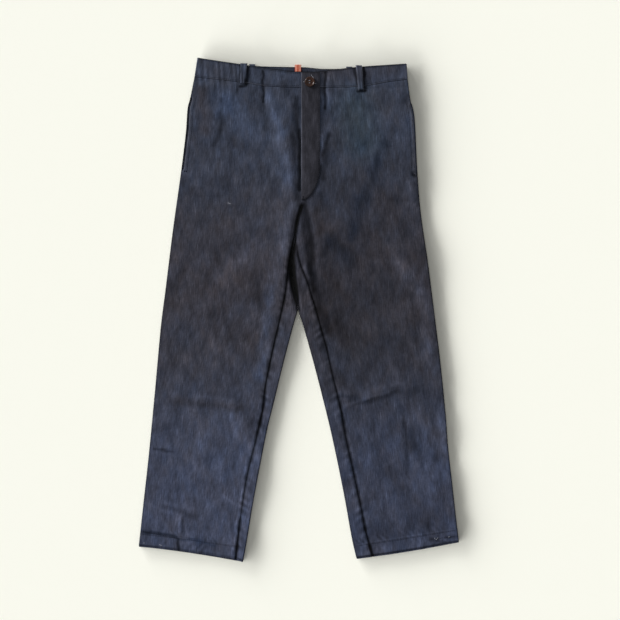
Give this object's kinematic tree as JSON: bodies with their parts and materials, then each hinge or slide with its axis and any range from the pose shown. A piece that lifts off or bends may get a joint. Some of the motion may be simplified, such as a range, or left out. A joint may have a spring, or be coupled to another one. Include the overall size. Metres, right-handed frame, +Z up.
{
  "type": "work trousers",
  "caption": "Straight-leg cotton twill work trousers laid flat, front side up, with a buttoned waistband, fly placket, belt loops, side-seam pockets and stitched hems.",
  "frame": {"origin": "on the table, under the middle of the garment's outline", "axes": "+X towards the wearer's left leg, +Y along the legs towards the waist, +Z up from the table, out of the trousers' front"},
  "size_m": [0.624, 0.9819, 0.0128],
  "materials": {
    "twill": "worn navy cotton twill, matt",
    "placket": "grey-brown worn cotton twill, matt",
    "pocketing": "plain dark cotton pocketing, matt",
    "label": "woven red-orange tab with pale stripes",
    "button": "dark brown, polished"
  },
  "bodies": {
    "root": {"back_right": "twill", "front_right": "twill", "waistband_right": "twill", "pocket_bag_right": "pocketing", "back_left": "twill", "front_left": "twill", "waistband_left": "twill", "pocket_bag_left": "pocketing", "fly_placket": "placket", "belt_loop_front_right": "twill", "belt_loop_front_left": "twill", "belt_loop_back_right": "twill", "belt_loop_back_left": "twill", "label_tab": "label", "button": "button"}
  },
  "joints": []
}
